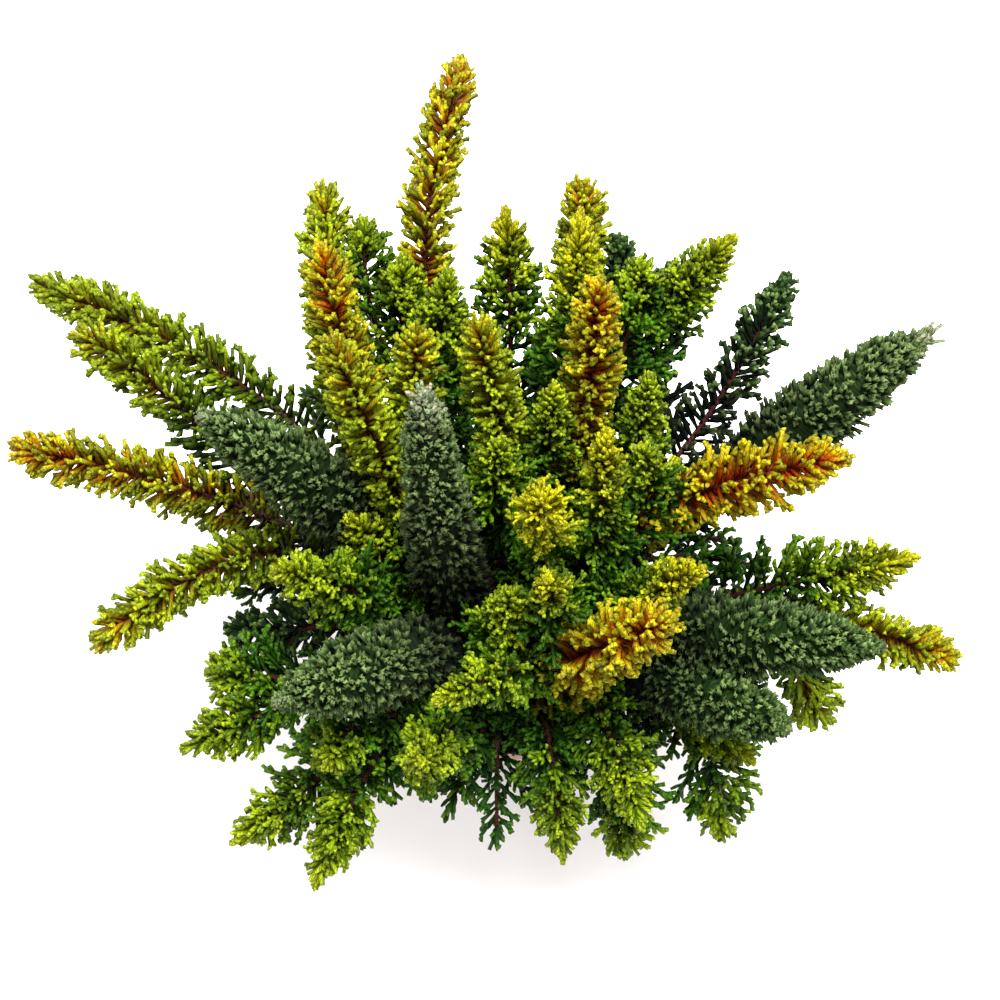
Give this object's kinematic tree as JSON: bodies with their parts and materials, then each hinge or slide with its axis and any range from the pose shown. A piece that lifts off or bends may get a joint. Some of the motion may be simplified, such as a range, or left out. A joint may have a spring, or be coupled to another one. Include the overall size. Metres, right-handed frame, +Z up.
{
  "type": "potted heather",
  "caption": "Bushy foliage heather with upright and arching leafy shoots, standing in peat in a plain round nursery pot.",
  "frame": {"origin": "middle of the pot's flat underside, on the surface that it stands on", "axes": "+Z up along the pot's axis; -Y is the side nearest the picture's camera, +X to its right"},
  "size_m": [0.2868, 0.2542, 0.2707],
  "materials": {
    "gold": "matt leafy, yellow to orange",
    "lime": "matt leafy, yellow-green",
    "dark": "matt leafy, deep green",
    "silver": "matt downy, grey-green",
    "peat": "rough and crumbly",
    "pot": "satin moulded"
  },
  "bodies": {
    "root": {"dark_shoot_30": "dark", "dark_shoot_31": "dark", "dark_shoot_61": "dark", "dark_shoot_62": "dark", "dark_shoot_63": "dark", "dark_shoot_64": "dark", "dark_shoot_65": "dark", "dark_shoot_66": "dark", "dark_shoot_67": "dark", "dark_shoot_68": "dark", "dark_shoot_69": "dark", "dark_shoot_70": "dark", "gold_shoot_01": "gold", "gold_shoot_02": "gold", "gold_shoot_03": "gold", "gold_shoot_04": "gold", "gold_shoot_09": "gold", "gold_shoot_11": "gold", "gold_shoot_18": "gold", "gold_shoot_20": "gold", "gold_shoot_40": "gold", "gold_shoot_42": "gold", "gold_shoot_43": "gold", "gold_shoot_47": "gold", "gold_shoot_48": "gold", "gold_shoot_55": "gold", "lime_shoot_06": "lime", "lime_shoot_07": "lime", "lime_shoot_08": "lime", "lime_shoot_10": "lime", "lime_shoot_15": "lime", "lime_shoot_19": "lime", "lime_shoot_25": "lime", "lime_shoot_26": "lime", "lime_shoot_28": "lime", "lime_shoot_32": "lime", "lime_shoot_33": "lime", "lime_shoot_34": "lime", "lime_shoot_35": "lime", "lime_shoot_41": "lime", "lime_shoot_49": "lime", "lime_shoot_50": "lime", "lime_shoot_52": "lime", "lime_shoot_54": "lime", "lime_shoot_56": "lime", "lime_shoot_57": "lime", "lime_shoot_58": "lime", "lime_shoot_60": "lime", "peat": "peat", "pot": "pot", "silver_shoot_12": "silver", "silver_shoot_16": "silver", "silver_shoot_17": "silver", "silver_shoot_21": "silver", "silver_shoot_22": "silver", "silver_shoot_37": "silver", "silver_shoot_39": "silver", "silver_shoot_45": "silver", "silver_shoot_46": "silver"}
  },
  "joints": []
}
